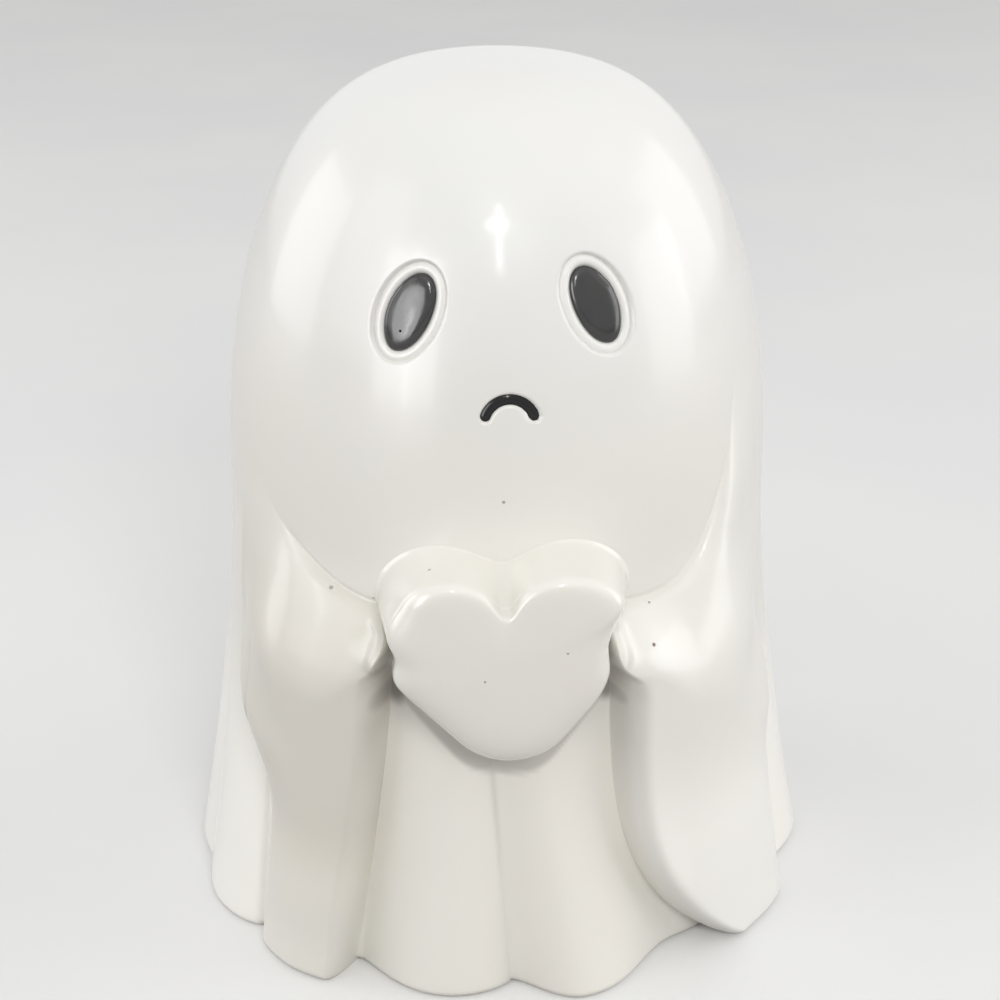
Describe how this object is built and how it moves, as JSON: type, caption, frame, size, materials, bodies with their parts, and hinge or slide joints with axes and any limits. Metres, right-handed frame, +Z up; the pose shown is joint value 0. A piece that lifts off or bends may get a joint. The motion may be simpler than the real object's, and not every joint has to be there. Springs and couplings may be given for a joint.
{
  "type": "ceramic ghost figure",
  "caption": "Standing ghost figure of glazed ceramic: a draped cloak with a domed head, oval eyes, a small frown, and sleeves that hold a heart at the chest.",
  "frame": {"origin": "middle of the foot, on the surface that the figure stands on", "axes": "+Z up, the figure faces -Y, its right hand is at -X"},
  "size_m": [0.0918, 0.0865, 0.12],
  "materials": {
    "white_glaze": "gloss",
    "cream_glaze": "gloss",
    "black_enamel": "gloss",
    "bare_clay": "matte"
  },
  "bodies": {
    "root": {"cloak_body": "white_glaze", "base_plate": "bare_clay", "right_sleeve": "white_glaze", "left_sleeve": "white_glaze", "heart": "cream_glaze", "right_eye_rim": "white_glaze", "left_eye_rim": "white_glaze", "right_eye": "black_enamel", "left_eye": "black_enamel", "mouth": "black_enamel"}
  },
  "joints": []
}
